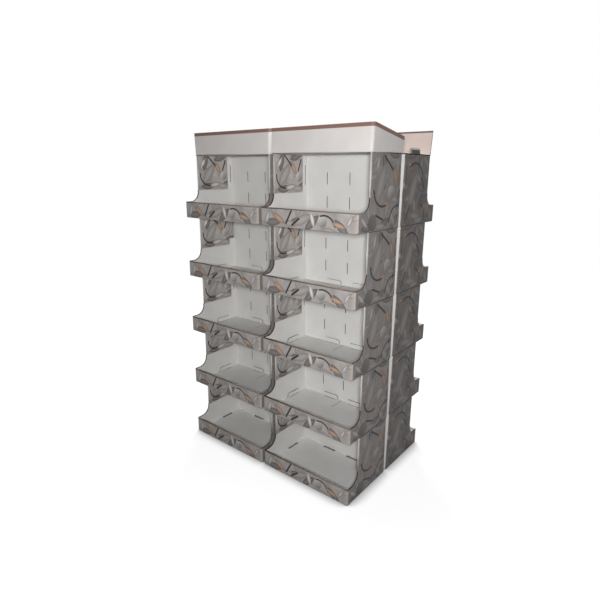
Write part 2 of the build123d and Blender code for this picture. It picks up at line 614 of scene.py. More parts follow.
@dataclass(frozen=True)
class PatchedLiner(WhiteLiner):
    """The outer side of a stacking tab: white liner with a dark patch that stops short of its edges.

    Attributes:
        patch: The patch's colour.
        half_length: Half the patch's length.
        top: How high the patch reaches above the tab's foot.
    """

    roughness: float = 0.6
    patch: str = "#4c4847"
    half_length: float = 46.0
    top: float = 25.0

    def colour(self, tree: Tree, plane: Socket) -> Socket:
        """Lays the patch over the white; places count from the middle of the tab's foot.

        Args:
            tree: The material's node tree.
            plane: The point's place on the panel in millimetres.

        Returns:
            The colour socket.
        """
        parts = add_node(tree, "SeparateXYZ", {0: plane})
        along = add_node(tree, "Math", {0: parts["X"]}, operation="ABSOLUTE")[0]
        beside = add_node(tree, "Math", {0: self.half_length, 1: along}, operation="SUBTRACT")[0]
        under = add_node(tree, "Math", {0: self.top, 1: parts["Y"]}, operation="SUBTRACT")[0]
        inside = add_node(tree, "Math", {0: beside, 1: under}, operation="MINIMUM")[0]
        share = add_node(tree, "MapRange", {"Value": inside, "From Max": LINE_FADE})[0]
        mix = {0: share, MIX_A: super().colour(tree, plane), MIX_B: self.patch}
        return add_node(tree, "Mix", mix, data_type="RGBA")[MIX_RESULT]


@dataclass(frozen=True)
class PrintedLiner(BoardFinish):
    """Offset-printed liner under thin varnish: busy greys, a soft satin look, and creases pale with wear and
    painted highlight.

    Attributes:
        motifs: The forms, placed one by one.
        tone: How light the panel's artwork is as a whole.
        dark: The darker colour of the print's ground.
        light: The lighter colour of the print's ground.
        mottle_size: How large the patches of the ground are.
        mottle_octaves: How much finer detail they have.
        mottle_range: The strengths of a patch that give the two colours of the ground.
        creases: Where the print is paler, partly worn and partly a painted highlight.
        wear_and_highlight: The colour there, of worn print and painted highlight.
        print_top: How far up the panel the print reaches, or None where it covers the panel.
        border: The colour of the line at the print's upper end.
        border_width: How wide that line is.
        bare: The colour of the board past that line.
    """

    roughness: float = 0.55
    motifs: tuple[Motif, ...] = ()
    tone: float = 1.0
    dark: str = "#7d7876"
    light: str = "#a8a3a0"
    mottle_size: float = 60.0
    mottle_octaves: float = 3.0
    mottle_range: Point = (0.2, 0.8)
    creases: tuple[Crease, ...] = ()
    wear_and_highlight: str = "#c6c3c0"
    print_top: float | None = None
    border: str = "#74665a"
    border_width: float = 8.0
    bare: str = "#d2cbc6"

    def ground(self, tree: Tree, plane: Socket) -> Socket:
        """Lays down the print's mottled ground.

        Args:
            tree: The material's node tree.
            plane: The point's place on the panel in millimetres.

        Returns:
            The colour socket.
        """
        mottle = add_node(tree, "TexNoise", {
            "Vector": plane, "Scale": 1 / self.mottle_size, "Detail": self.mottle_octaves,
        })[0]
        low, high = self.mottle_range
        share = add_node(tree, "MapRange", {"Value": mottle, "From Min": low, "From Max": high})[0]
        mix = {0: share, MIX_A: self.dark, MIX_B: self.light}
        return add_node(tree, "Mix", mix, data_type="RGBA")[MIX_RESULT]

    def colour(self, tree: Tree, plane: Socket) -> Socket:
        """Prints the forms over the ground, pales the creases with wear and painted highlight, and adds the
        line at the print's upper end.

        Args:
            tree: The material's node tree.
            plane: The point's place on the panel in millimetres.

        Returns:
            The colour socket.
        """
        colour = self.ground(tree, plane)
        for form in (*GROUND_PRINT, *self.motifs):
            colour = form.paint(tree, plane, colour)
        colour = add_node(tree, "HueSaturation", {"Value": self.tone, "Color": colour})[0]
        parts = add_node(tree, "SeparateXYZ", {0: plane})
        layers = []
        # A crease turns the print pale: partly wear, partly a painted highlight
        for crease in self.creases:
            off = add_node(tree, "Math", {0: parts["X"], 1: crease.at}, operation="SUBTRACT")[0]
            beside = add_node(tree, "Math", {0: off}, operation="ABSOLUTE")[0]
            pale_share = add_node(tree, "MapRange", {
                "Value": beside, "From Min": crease.half_width, "From Max": crease.half_width + crease.fade,
                "To Min": crease.strength, "To Max": 0.0,
            })[0]
            layers.append((pale_share, self.wear_and_highlight))
        if self.print_top is not None:
            ends = ((self.print_top - self.border_width, self.border), (self.print_top, self.bare))
            for level, paint in ends:
                share = add_node(tree, "MapRange", {
                    "Value": parts["Y"], "From Min": level, "From Max": level + LINE_FADE,
                })[0]
                layers.append((share, paint))
        for share, paint in layers:
            mix = {0: share, MIX_A: colour, MIX_B: paint}
            colour = add_node(tree, "Mix", mix, data_type="RGBA")[MIX_RESULT]
        return colour


@dataclass(frozen=True)
class CutEdge(BoardFinish):
    """Raw die-cut edge of the board: two liners with a wavy flute between them, and painted shade in the open
    cells between.

    Attributes:
        paper: The colour of liners and flute.
        hollow_shade: The colour between them, painted shade of the flute's open cells.
        board: The board's thickness.
        paper_width: How thick the paper looks after the cut has squashed it.
    """

    roughness: float = 0.9
    sheen: float = 0.0
    layer: str = "cut"
    paper: str = "#5e4136"
    hollow_shade: str = "#2c1c17"
    board: float = 5.0
    paper_width: float = 0.5

    def colour(self, tree: Tree, plane: Socket) -> Socket:
        """Draws the flute's wave and the two liners; a place runs along the edge and across the board.

        Args:
            tree: The material's node tree.
            plane: The point's place on the edge in millimetres.

        Returns:
            The colour socket.
        """
        middle = self.board / 2
        across = add_node(tree, "SeparateXYZ", {0: plane})["Y"]
        crest = add_node(tree, "Math", {
            0: self.flutes(tree, plane), 1: middle - self.paper_width, 2: middle,
        }, operation="MULTIPLY_ADD")[0]
        flute, centre = (
            add_node(tree, "Math", {
                0: add_node(tree, "Math", {0: across, 1: line}, operation="SUBTRACT")[0],
            }, operation="ABSOLUTE")[0]
            for line in (crest, middle)
        )
        liner = add_node(tree, "Math", {0: middle, 1: centre}, operation="SUBTRACT")[0]
        near = add_node(tree, "Math", {0: flute, 1: liner}, operation="MINIMUM")[0]
        share = add_node(tree, "MapRange", {
            "Value": near, "From Min": self.paper_width, "From Max": 2 * self.paper_width,
        })[0]
        # Between liner and flute the colour is painted shade of the open cells
        mix = {0: share, MIX_A: self.paper, MIX_B: self.hollow_shade}
        return add_node(tree, "Mix", mix, data_type="RGBA")[MIX_RESULT]


class FoldedSheet:
    """A sheet of board, built as its outer face with every fold and then given its thickness."""

    def __init__(self) -> None:
        """Starts an empty sheet."""
        self.mesh = bmesh.new()
        self.places = self.mesh.loops.layers.uv.new("sheet")
        self.cuts = self.mesh.loops.layers.uv.new("cut")

    def face(
        self, points: Sequence[Vector], places: Sequence[Point], kind: Face, outward: Vector,
        smooth: bool = False,
    ) -> None:
        """Adds one face of the sheet.

        Args:
            points: Its corners in millimetres.
            places: The same corners on the print.
            kind: What its outer side is.
            outward: The way its outer side looks.
            smooth: Whether it is part of a fold.
        """
        normal = Vector()
        for one, two in zip(points, (*points[1:], points[0])):
            normal += one.cross(two)
        order = range(len(points)) if normal.dot(outward) > 0 else range(len(points) - 1, -1, -1)
        made = self.mesh.faces.new([self.mesh.verts.new(points[i] * MM) for i in order])
        made.material_index = kind.value
        made.smooth = smooth
        for loop, i in zip(made.loops, order):
            loop[self.places].uv = (places[i][0] * MM, places[i][1] * MM)

    def panel(
        self, outline: Sequence[Point], at: Callable[[float, float], Vector], outward: Vector, kind: Face,
        place: Callable[[float, float], Point] = lambda u, v: (u, v), holes: Sequence[Sequence[Point]] = (),
    ) -> None:
        """Adds a flat panel.

        Args:
            outline: Its corners in its own plane.
            at: Turns a point of that plane into a point of the tray.
            outward: The way its outer side looks.
            kind: What its outer side is.
            place: Turns a point of that plane into a place on the print.
            holes: The corners of each hole in it.
        """
        corners = [point for ring in (outline, *holes) for point in ring]
        rings = [[Vector((*point, 0)) for point in ring] for ring in (outline, *holes)]
        for triangle in tessellate_polygon(rings):
            chosen = [corners[i] for i in triangle]
            self.face([at(*point) for point in chosen], [place(*point) for point in chosen], kind, outward)

    def arc(self, middle: Vector, start: Vector, end: Vector, radius: float) -> list[Vector]:
        """Lists the points of a fold's section, a quarter round from one way to another."""
        return [middle + radius * (math.cos(a) * start + math.sin(a) * end) for a in QUARTER_TURN]

    def fold(
        self, near: Sequence[Vector], far: Sequence[Vector], near_place: Sequence[Point],
        far_place: Sequence[Point], kind: Face, middle: Vector,
    ) -> None:
        """Adds the rounded strip of a fold.

        Args:
            near: The section at one end of the fold.
            far: The section at its other end.
            near_place: The first section's places on the print.
            far_place: The other section's places on the print.
            kind: What its outer side is.
            middle: A point on the fold's axis.
        """
        axis = (far[0] - near[0]).normalized()
        for i in range(len(near) - 1):
            corners = [near[i], near[i + 1], far[i + 1], far[i]]
            places = [near_place[i], near_place[i + 1], far_place[i + 1], far_place[i]]
            out = sum(corners, Vector()) / 4 - middle
            self.face(corners, places, kind, out - axis * out.dot(axis), True)

    def corner(self, middle: Vector, ways: tuple[Vector, Vector, Vector], radius: float, kind: Face) -> None:
        """Adds the rounded corner where three folds meet.

        Args:
            middle: The middle of its ball.
            ways: The three ways, at right angles, from there to its tips.
            radius: The ball's radius.
            kind: What its outer side is.
        """
        top, left, right = ways
        rows = []
        for i, turn in enumerate(QUARTER_TURN):
            one, two = (math.cos(turn) * top + math.sin(turn) * way for way in (left, right))
            rows.append([one.slerp(two, j / i) if i else top.copy() for j in range(i + 1)])
        for upper, lower in zip(rows, rows[1:]):
            for j in range(len(upper)):
                self.ball(middle, (upper[j], lower[j], lower[j + 1]), radius, kind)
                if j + 1 < len(upper):
                    self.ball(middle, (upper[j], lower[j + 1], upper[j + 1]), radius, kind)

    def ball(self, middle: Vector, ways: Sequence[Vector], radius: float, kind: Face) -> None:
        """Adds one face of a rounded corner, whose own corners lie these ways from its ball's middle."""
        points = [middle + radius * way for way in ways]
        self.face(points, [(p.x, p.z) for p in points], kind, sum(ways, Vector()), True)

    def thicken(
        self, name: str, board: float, inner: Callable[[bmesh.types.BMFace], Face],
        rim: Callable[[Vector], Face],
    ) -> bpy.types.Mesh:
        """Gives the sheet its thickness, inwards from its outer face.

        Args:
            name: The mesh's name.
            board: The board's thickness.
            inner: Says what the inner side of a face is.
            rim: Says what the cut edge at a point is.

        Returns:
            The finished mesh.
        """
        bmesh.ops.remove_doubles(self.mesh, verts=self.mesh.verts, dist=WELD)
        self.mesh.normal_update()
        outer_faces = list(self.mesh.faces)
        rims = [edge for edge in self.mesh.edges if edge.is_boundary]
        depth = board * MM
        inner_places = {
            vert: vert.co - vert.normal * vert.calc_shell_factor() * depth for vert in self.mesh.verts
        }
        within = {vert: self.mesh.verts.new(place) for vert, place in inner_places.items()}
        for face in outer_faces:
            loops = list(reversed(face.loops))
            made = self.mesh.faces.new([within[loop.vert] for loop in loops])
            made.smooth = face.smooth
            made.material_index = inner(face).value
            for new, old in zip(made.loops, loops):
                new[self.places].uv = old[self.places].uv
        for edge in rims:
            loop = edge.link_loops[0]
            start, end = loop.vert, loop.link_loop_next.vert
            made = self.mesh.faces.new([end, start, within[start], within[end]])
            made.material_index = rim((start.co + end.co) / 2 / MM).value
            for new, vert, across in zip(made.loops, (end, start, start, end), (0.0, 0.0, depth, depth)):
                new[self.cuts].uv = (sum(vert.co), across)
        mesh = bpy.data.meshes.new(name)
        self.mesh.to_mesh(mesh)
        self.mesh.free()
        return mesh


def rectangle(low: Point, high: Point) -> list[Point]:
    """Lists the corners of an upright rectangle."""
    return [low, (high[0], low[1]), high, (low[0], high[1])]


def round_corner(
    middle: Point, radius: float, start: float, end: float, steps: int = ROUND_STEPS,
) -> list[Point]:
    """Lists the points of a rounded corner, from one angle to another in degrees."""
    angles = [math.radians(start + (end - start) * i / steps) for i in range(steps + 1)]
    return [(middle[0] + radius * math.cos(a), middle[1] + radius * math.sin(a)) for a in angles]


@dataclass
class Tray:
    """One tray, folded from a single blank.

    Attributes:
        width: Across its side walls.
        depth: From the lip's face to its back.
        height: Of its side and back walls.
        board: Thickness of the board.
        crease: Outer radius of a fold.
        lip_height: Of its front lip.
        lip_reach: How far the lip stands ahead of the side walls' front edges.
        turnover: How far past the lip's top its print goes.
        mouth_radius: Of the curve from the lip to a side wall's front edge.
        mouth_steps: How many sides that curve has.
        back_lean: How far the back wall leans in at its top.
        roll_foot: How far above the underside the rolled-over lip ends.
        flap_bottom: Height of the side flaps' lower edges.
        flap_setback: From the tray's back to a flap's free edge.
        tab_neck: Length of a stacking tab where it passes through its slot.
        tab_head: Its length above the slot.
        tab_rise: How far a tab stands up.
        tab_lean: How far it leans in at its top, away from the wall beside it.
        tab_corner: Radius of a tab's free corners.
        side_tab_setback: From a flap's free edge to the middle of its tab.
        back_tab_spacing: Between the two tabs of the back wall.
        tab_clearance: Between a tab and the ends of its slot.
        slot_play: Floor left open on the inner side of a tab.
        slot_shade_width: Width of the painted shade round a slot.
        slot_margin: Floor left between a side slot and the fold beside it.
        slit_width: Of the slits for dividers and tongues.
        divider_pitch: Between columns of divider slits.
        divider_slit_height: Of a divider slit.
        divider_slit_spacing: Between the two rows of divider slits.
        divider_middle: Height halfway between those rows.
        tongue_height: Of a flap's tongue.
        tongue_drop: From the top of the flap to its tongue.
        tongue_catch: How far a tongue reaches past its slit.
        lock_inset: From the tray's back to a tongue's slit.
    """

    width: float = 580.0
    depth: float = 380.0
    height: float = 350.0
    board: float = 5.0
    crease: float = 5.5
    lip_height: float = 92.0
    lip_reach: float = 92.0
    turnover: float = 2.0
    mouth_radius: float = 55.0
    mouth_steps: int = 12
    back_lean: float = 8.0
    roll_foot: float = 6.0
    flap_bottom: float = 155.0
    flap_setback: float = 55.0
    tab_neck: float = 78.0
    tab_head: float = 102.0
    tab_rise: float = 32.0
    tab_lean: float = 5.0
    tab_corner: float = 12.0
    side_tab_setback: float = 75.0
    back_tab_spacing: float = 170.0
    tab_clearance: float = 1.0
    slot_play: float = 4.0
    slot_shade_width: float = 4.0
    slot_margin: float = 0.1
    slit_width: float = 4.0
    divider_pitch: float = 145.0
    divider_slit_height: float = 63.0
    divider_slit_spacing: float = 126.0
    divider_middle: float = 168.0
    tongue_height: float = 105.0
    tongue_drop: float = 50.0
    tongue_catch: float = 10.0
    lock_inset: float = 25.0

    @property
    def inset(self) -> float:
        """Half the width of the flat floor between the side folds."""
        return self.width / 2 - self.crease

    @property
    def flap_back(self) -> float:
        """Where a flap's free edge is."""
        return self.depth - self.flap_setback

    @property
    def mouth_middle(self) -> Point:
        """The middle of the mouth's curve on a side wall."""
        return self.lip_reach - self.mouth_radius, self.lip_height + self.mouth_radius

    @property
    def side_tab(self) -> float:
        """Where the middle of a side tab is."""
        return self.flap_back - self.side_tab_setback

    @property
    def quarter(self) -> float:
        """Length of the print round a right-angle fold."""
        return self.crease * math.pi / 2

    def round_places(self, start: float, quarters: int = 1, way: int = 1) -> list[float]:
        """Lists places on the print round a fold of one or more right angles; way is -1 where they fall."""
        steps = range(quarters * ROUND_STEPS + 1)
        return [start + way * self.quarter * i / ROUND_STEPS for i in steps]

    def slit(self, middle: Point, height: float) -> list[Point]:
        """Lists the corners of an upright slit."""
        (u, v), half = middle, self.slit_width / 2
        return rectangle((u - half, v - height / 2), (u + half, v + height / 2))

    def wall(self, side: int) -> Face:
        """Which print a side wall has."""
        return Face.RIGHT_WALL if side > 0 else Face.LEFT_WALL

    def floor_slots(self) -> list[list[Point]]:
        """Lists the floor's four slots for the tabs of the tray below.

        Returns:
            The outline of each slot.
        """
        half = self.tab_neck / 2 + self.tab_clearance
        inner = self.width / 2 - 2 * self.crease - self.slot_play
        outer = self.inset - self.slot_margin
        top = self.depth - self.back_lean
        slots = []
        for side in (-1, 1):
            ends = sorted((side * inner, side * outer))
            slots.append(rectangle((ends[0], self.side_tab - half), (ends[1], self.side_tab + half)))
            middle = side * self.back_tab_spacing / 2
            low = (middle - half, top - self.board - self.slot_play)
            slots.append(rectangle(low, (middle + half, top + self.tab_clearance)))
        return slots

    def slot_shade_marks(self) -> tuple[Motif, ...]:
        """Lists the painted shade round the floor's slots, a dark band that widens each slot's own dark.

        Returns:
            A mark for each slot.
        """
        marks = []
        for low, _, high, _ in self.floor_slots():
            across, along = high[0] - low[0], high[1] - low[1]
            size = max(across, along) / 2 + self.slot_shade_width
            width = min(across, along) + 2 * self.slot_shade_width
            middle = ((low[0] + high[0]) / 2, (low[1] + high[1]) / 2)
            # Each mark is painted shade, a dark band round its slot
            marks.append(Motif(Shape.BAR, Ink.RIM, *middle, size, width, 0 if across > along else 90))
        return tuple(marks)

    def tab_in(self, level: float) -> float:
        """How far a tab has leaned in at a height."""
        return self.tab_lean * (level - self.height) / self.tab_rise

    def tab(self, middle: float, foot: float) -> list[Point]:
        """Lists a stacking tab's outline from its right foot over its rounded head to its left foot.

        Args:
            middle: Its middle along the edge that it stands on.
            foot: The height of that edge.

        Returns:
            The points.
        """
        neck, head, turn = self.tab_neck / 2, self.tab_head / 2, self.tab_corner
        shoulder, top = foot + self.board + self.tab_clearance, foot + self.tab_rise
        right = round_corner((middle + head - turn, top - turn), turn, 0, 90)
        left = round_corner((middle - head + turn, top - turn), turn, 90, 180)
        return [
            (middle + neck, foot), (middle + neck, shoulder), (middle + head, shoulder), *right,
            *left, (middle - head, shoulder), (middle - neck, shoulder), (middle - neck, foot),
        ]

    def build_floor(self, sheet: FoldedSheet) -> None:
        """Adds the floor and the folds that join it to the lip and the back wall.

        Args:
            sheet: The sheet it goes into.
        """
        r, x = self.crease, self.inset
        sheet.panel(
            rectangle((-x, r), (x, self.depth - r)), lambda u, v: Vector((u, v, 0)), -UP, Face.LINER,
            holes=self.floor_slots(),
        )
        for y, way, kind in ((r, -BACK, Face.LIP), (self.depth - r, BACK, Face.LINER)):
            ends = [Vector((side * x, y, r)) for side in (-1, 1)]
            sections = [sheet.arc(end, -UP, way, r) for end in ends]
            rise = self.round_places(r - self.quarter)
            places = [[(self.width / 2 + end.x, v) for v in rise] for end in ends]
            sheet.fold(*sections, *places, kind, ends[0])

    def build_lip(self, sheet: FoldedSheet) -> None:
        """Adds the front lip, its roll and the layer that goes back down inside.

        Args:
            sheet: The sheet it goes into.
        """
        r, x, half = self.crease, self.inset, self.width / 2
        top = self.lip_height - r
        sheet.panel(
            rectangle((-x, r), (x, top)), lambda u, v: Vector((u, 0, v)), -BACK, Face.LIP,
            lambda u, v: (half + u, v),
        )
        ends = [Vector((side * x, r, top)) for side in (-1, 1)]
        sections = [sheet.arc(end, -BACK, UP, r) + sheet.arc(end, UP, BACK, r)[1:] for end in ends]
        rise = self.round_places(top, quarters=2)
        places = [[(half + end.x, v) for v in rise] for end in ends]
        sheet.fold(*sections, *places, Face.LIP, ends[0])
        rolled = 2 * (top + self.quarter)
        sheet.panel(
            rectangle((-x, self.roll_foot), (x, top)), lambda u, v: Vector((u, 2 * r, v)), BACK, Face.LIP,
            lambda u, v: (half + u, rolled - v),
        )

    def build_back(self, sheet: FoldedSheet) -> None:
        """Adds the back wall with its tabs and divider slits.

        Args:
            sheet: The sheet it goes into.
        """
        r, x, top = self.crease, self.inset, self.height
        slope = self.back_lean / (top - r)
        tabs = [self.tab(side * self.back_tab_spacing / 2, top) for side in (1, -1)]
        outline = [(-x, r), (x, r), (x, top), *(tab[end] for tab in tabs for end in (0, -1)), (-x, top)]
        back_top = self.depth - self.back_lean
        for tab in tabs:
            sheet.panel(tab, lambda u, v: Vector((u, back_top - self.tab_in(v), v)), BACK, Face.LINER)
        columns = [place * self.divider_pitch for place in (-1, 0, 1)]
        levels = [self.divider_middle + place * self.divider_slit_spacing for place in (-0.5, 0.5)]
        slits = [self.slit((u, v), self.divider_slit_height) for u in columns for v in levels]
        sheet.panel(
            outline, lambda u, v: Vector((u, self.depth - slope * (v - r), v)), BACK, Face.LINER, holes=slits,
        )

    def build_side(self, sheet: FoldedSheet, side: int, tongue: bool) -> None:
        """Adds a side wall with its folds, corners, flap and stacking tab.

        Args:
            sheet: The sheet it goes into.
            side: -1 for the left wall and 1 for the right.
            tongue: Whether the flap's tongue hangs out of its slit.
        """
        r, half, top, front = self.crease, self.width / 2, self.height, self.lip_reach
        back_foot, back_top = self.depth - r, self.depth - self.back_lean - r
        mouth = round_corner(self.mouth_middle, self.mouth_radius, 0, -90, self.mouth_steps)
        lock = (self.depth - self.lock_inset, top - self.tongue_drop - self.tongue_height / 2)
        sheet.panel(
            [(r, r), (back_foot, r), (back_top, top), (front + r, top), (front + r, self.flap_bottom),
             (front, self.flap_bottom), *mouth, (r, self.lip_height), (r, self.lip_height - r)],
            lambda u, v: Vector((side * half, u, v)), side * ACROSS, self.wall(side),
            holes=[self.slit(lock, self.tongue_height)],
        )
        self.fold_side_to_floor(sheet, side)
        self.fold_side_to_back(sheet, side)
        self.fold_side_to_lip(sheet, side)
        self.build_flap(sheet, side, tongue)

    def fold_side_to_floor(self, sheet: FoldedSheet, side: int) -> None:
        """Adds the fold below a side wall and the rounded corners at its ends.

        Args:
            sheet: The sheet it goes into.
            side: -1 for the left wall and 1 for the right.
        """
        r, out = self.crease, side * ACROSS
        ends = [Vector((side * self.inset, y, r)) for y in (r, self.depth - r)]
        rise = self.round_places(r - self.quarter)
        sections = [sheet.arc(end, -UP, out, r) for end in ends]
        sheet.fold(*sections, *([(end.y, v) for v in rise] for end in ends), self.wall(side), ends[0])
        for end, way in zip(ends, (-BACK, BACK)):
            sheet.corner(end, (-UP, way, out), r, self.wall(side))

    def fold_side_to_back(self, sheet: FoldedSheet, side: int) -> None:
        """Adds the upright fold between a side wall and the back wall.

        Args:
            sheet: The sheet it goes into.
            side: -1 for the left wall and 1 for the right.
        """
        r, out = self.crease, side * ACROSS
        ends = [Vector((side * self.inset, self.depth - r, r))]
        ends.append(Vector((side * self.inset, self.depth - self.back_lean - r, self.height)))
        sections = [sheet.arc(end, out, BACK, r) for end in ends]
        along = self.round_places(self.depth - r)
        sheet.fold(*sections, *([(u, end.z) for u in along] for end in ends), self.wall(side), ends[0])

    def fold_side_to_lip(self, sheet: FoldedSheet, side: int) -> None:
        """Adds the upright fold between a side wall and the lip.

        Args:
            sheet: The sheet it goes into.
            side: -1 for the left wall and 1 for the right.
        """
        r, out = self.crease, side * ACROSS
        levels = (r, self.lip_height - r, self.lip_height)
        ends = [Vector((side * self.inset, r, level)) for level in levels]
        sections = [sheet.arc(end, -BACK, out, r) for end in ends]
        along = self.round_places(self.width / 2 + side * self.inset, way=side)
        places = [[(u, level) for u in along] for level in levels]
        for i in (0, 1):
            sheet.fold(sections[i], sections[i + 1], places[i], places[i + 1], Face.LIP, ends[i])

    def build_flap(self, sheet: FoldedSheet, side: int, tongue: bool) -> None:
        """Adds the flap that is folded back inside a side wall, with its stacking tab.

        Args:
            sheet: The sheet it goes into.
            side: -1 for the left wall and 1 for the right.
            tongue: Whether its tongue hangs out of its slit.
        """
        r, out, low, top = self.crease, side * ACROSS, self.flap_bottom, self.height
        front, edge = self.lip_reach + r, self.flap_back
        ends = [Vector((side * self.inset, front, level)) for level in (low, top)]
        sections = [sheet.arc(end, out, -BACK, r) + sheet.arc(end, -BACK, -out, r)[1:] for end in ends]
        along = self.round_places(-self.quarter, quarters=2)
        sheet.fold(*sections, *([(u, end.z - low) for u in along] for end in ends), Face.FLAP, ends[0])
        tab = self.tab(self.side_tab, top)
        outline = [(front, low), (edge, low)]
        if tongue:
            tip = self.depth - self.lock_inset + self.tongue_catch
            tongue_top = top - self.tongue_drop
            outline += rectangle((edge, tongue_top - self.tongue_height), (tip, tongue_top))
        outline += [(edge, top), tab[0], tab[-1], (front, top)]
        plane = side * (self.inset - r)
        sheet.panel(
            outline, lambda u, v: Vector((plane, u, v)), -out, Face.FLAP,
            lambda u, v: (u - front + self.quarter, v - low),
        )
        sheet.panel(
            tab, lambda u, v: Vector((plane - side * self.tab_in(v), u, v)), -out, Face.LINER,
            lambda u, v: (u - self.side_tab, v - top),
        )

    def inner_side(self, face: bmesh.types.BMFace, stacked: bool) -> Face:
        """Says what the unprinted side of a face is.

        Args:
            face: The outer face.
            stacked: Whether the tray stands on another one, which gives its floor the painted shade of a
                groove.

        Returns:
            The kind of face: white, with a patch on a side tab, browned on a wall and marked on the floor.
        """
        middle = face.calc_center_median() / MM
        if middle.z > self.height and abs(middle.x) > self.back_tab_spacing:
            return Face.TAB
        if face.material_index in (Face.RIGHT_WALL.value, Face.LEFT_WALL.value) and not face.smooth:
            return Face.WALL_INSIDE
        if middle.z * MM < WELD and not face.smooth:
            return Face.FLOOR if stacked else Face.LOWEST_FLOOR
        return Face.LINER

    def rim(self, middle: Vector) -> Face:
        """Says what the cut edge at a point is.

        Args:
            middle: The point in millimetres.

        Returns:
            An edge darkened with painted shade on the stacking tabs, one painted near black with the shade
            inside the floor's slots, and a brown one elsewhere.
        """
        if middle.z > self.height:
            return Face.WHITE_CUT
        return Face.SLOT if middle.z < self.board else Face.CUT

    def mesh(self, name: str, tongue: bool = False, stacked: bool = True) -> bpy.types.Mesh:
        """Folds the blank up.

        Args:
            name: The mesh's name.
            tongue: Whether the left flap's tongue hangs out of its slit.
            stacked: Whether the tray stands on another one.

        Returns:
            The tray's mesh.
        """
        sheet = FoldedSheet()
        self.build_floor(sheet)
        self.build_lip(sheet)
        self.build_back(sheet)
        for side in (-1, 1):
            self.build_side(sheet, side, tongue and side < 0)
        return sheet.thicken(name, self.board, lambda face: self.inner_side(face, stacked), self.rim)


@dataclass
class Header:
    """The header on top of a column, folded from a single blank: floor, front panel and one side panel.

    Attributes:
        tray: The tray that it stands on.
        height: Of its front panel.
        rear_height: Of its side panel at the back.
        flare: How far its panels lean out at the top.
        bend: Outer radius of the soft bend between its two panels.
    """

    tray: Tray
    height: float = 125.0
    rear_height: float = 80.0
    flare: float = 6.0
    bend: float = 14.0

    def lean(self, level: float) -> float:
        """How far the panels lean out at a height above the floor."""
        r = self.tray.crease
        return self.flare * (level - r) / (self.height - r)

    def top_at(self, y: float) -> float:
        """The height of the side panel's sloping top edge at a place along it."""
        start, end = self.tray.lip_reach + self.bend, self.tray.depth
        return self.height + (self.rear_height - self.height) * max(0.0, y - start) / (end - start)

    def mesh(self, name: str) -> bpy.types.Mesh:
        """Folds the blank up.

        Args:
            name: The mesh's name.

        Returns:
            The header's mesh.
        """
        sheet = FoldedSheet()
        tray, r = self.tray, self.tray.crease
        half, front, back = tray.width / 2, tray.lip_reach, tray.depth
        foot = Vector((half - self.bend, front + self.bend, r))
        rounding = round_corner((foot.x, foot.y), self.bend - r, -90, 0)
        sheet.panel(
            [(-half, front + r), *rounding, (half - r, back), (-half, back)], lambda u, v: Vector((u, v, 0)),
            -UP, Face.LINER, holes=tray.floor_slots(),
        )
        sheet.panel(
            [(-half, r), (foot.x, r), (foot.x + self.flare, self.height), (-half - self.flare, self.height)],
            lambda u, v: Vector((u, front, v)), -BACK, Face.HEADER, lambda u, v: (u, self.height - v),
        )
        sheet.panel(
            [(foot.y, r), (back, r), (back, self.rear_height), (foot.y, self.height)],
            lambda u, v: Vector((half + self.lean(v), u, v)), ACROSS, Face.HEADER,
            lambda u, v: (u, self.top_at(u) - v),
        )
        upper = Vector((foot.x + self.flare, foot.y, self.height))
        sections = [sheet.arc(end, -BACK, ACROSS, self.bend) for end in (foot, upper)]
        places = [[(p.x + p.y, self.height - p.z) for p in section] for section in sections]
        sheet.fold(*sections, *places, Face.HEADER, foot)
        self.fold_to_floor(sheet, foot)
        return sheet.thicken(name, tray.board, lambda face: Face.HEADER_INSIDE, lambda middle: Face.CUT)

    def fold_to_floor(self, sheet: FoldedSheet, foot: Vector) -> None:
        """Adds the fold that runs below the front panel, round the bend and below the side panel.

        Args:
            sheet: The sheet it goes into.
            foot: The middle of the bend, at the height where the panels begin.
        """
        r, half = self.tray.crease, self.tray.width / 2
        ways = [math.sin(turn) * ACROSS - math.cos(turn) * BACK for turn in QUARTER_TURN]
        pivots = [foot + (self.bend - r) * way for way in ways]
        pivots = [Vector((-half, pivots[0].y, r)), *pivots, Vector((pivots[-1].x, self.tray.depth, r))]
        sections = [sheet.arc(pivot, -UP, way, r) for pivot, way in zip(pivots, (ways[0], *ways, ways[-1]))]
        places = [[(p.x + p.y, self.height - p.z) for p in section] for section in sections]
        for i, pivot in enumerate(pivots[1:]):
            sheet.fold(sections[i], sections[i + 1], places[i], places[i + 1], Face.HEADER, pivot)


